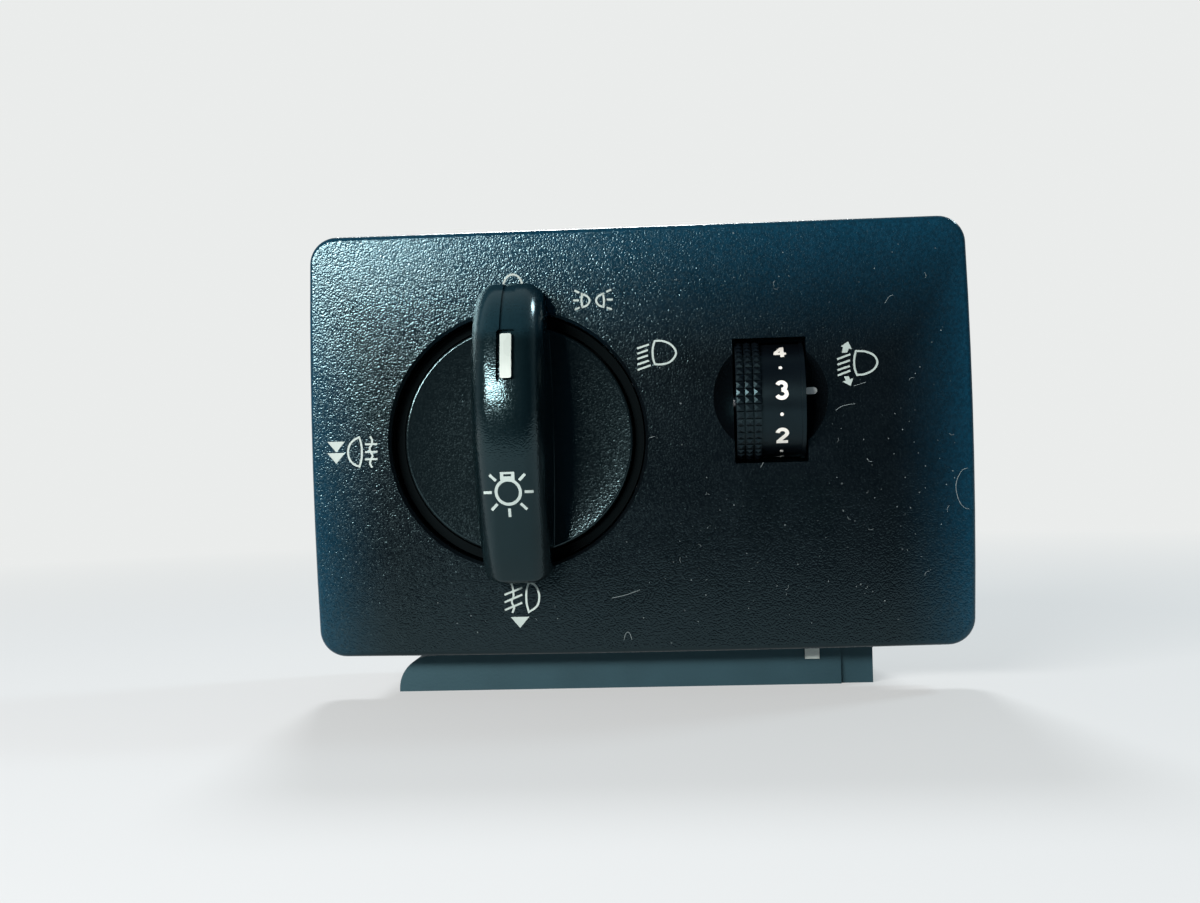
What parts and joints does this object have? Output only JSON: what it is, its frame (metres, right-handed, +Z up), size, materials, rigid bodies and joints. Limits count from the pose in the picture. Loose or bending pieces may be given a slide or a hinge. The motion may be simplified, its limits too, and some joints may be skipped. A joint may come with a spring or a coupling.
{
  "type": "headlight switch",
  "caption": "Dashboard headlight switch with a pull-out rotary knob, a levelling thumbwheel, a moulded plate, a case with a plug socket and side spring clips.",
  "frame": {"origin": "bottom centre of the whole switch, on the surface that its foot stands on", "axes": "+X to the right as the driver sees it, +Y to the rear towards the plug, +Z up"},
  "size_m": [0.1094, 0.061, 0.0772],
  "materials": {
    "fascia_black": "fine grained, satin",
    "knob_black": "fine grained, satin, polished at its ends",
    "cup_black": "smooth",
    "wheel_black": "smooth, semi-matt",
    "case_plastic": "matt moulded",
    "white_plastic": "satin",
    "clear_plastic": "clear",
    "spring_steel": "bright rolled",
    "copper": "bright",
    "board_green": "lacquered",
    "pot_blue": "moulded",
    "natural_plastic": "slippery, unpainted",
    "ceramic_black": "fired"
  },
  "bodies": {
    "housing": {"fascia_plate": "fascia_black", "index_mark": "white_plastic", "detent_springs": "spring_steel", "level_potentiometer": "pot_blue", "level_leads": "copper", "level_detent_spring": "spring_steel", "front_housing": "case_plastic", "lock_tab": "white_plastic", "symbol_light_guide": "clear_plastic", "indicator_lamps": "white_plastic", "circuit_board": "board_green", "contact_tracks": "copper", "board_resistors": "ceramic_black", "fog_contacts": "copper", "terminal_pins": "copper", "rear_cover": "case_plastic", "case_screws": "spring_steel", "left_clip": "spring_steel", "right_clip": "spring_steel"},
    "rotor": {"rotor_cup": "cup_black", "rotor_retaining_ring": "spring_steel", "rotor_wiper": "copper", "pull_detent_clip": "spring_steel"},
    "knob": {"knob": "knob_black", "pointer_lens": "white_plastic", "knob_shaft": "natural_plastic", "pull_slider": "copper", "slider_retainer": "spring_steel"},
    "wheel": {"level_wheel": "wheel_black", "level_axle": "spring_steel"}
  },
  "joints": [
    {"name": "knob_turn", "type": "hinge", "parent": "housing", "child": "rotor", "pos_m": [-0.02, -0.0055, 0.0426], "axis": [0, 1, 0], "range_deg": [0, 60]},
    {"name": "knob_pull", "type": "slide", "parent": "rotor", "child": "knob", "axis": [0, -1, 0], "range_m": [0, 0.006]},
    {"name": "wheel_turn", "type": "hinge", "parent": "housing", "child": "wheel", "pos_m": [0.0218, -0.0105, 0.0479], "axis": [1, 0, 0], "range_deg": [-144, 48]}
  ]
}
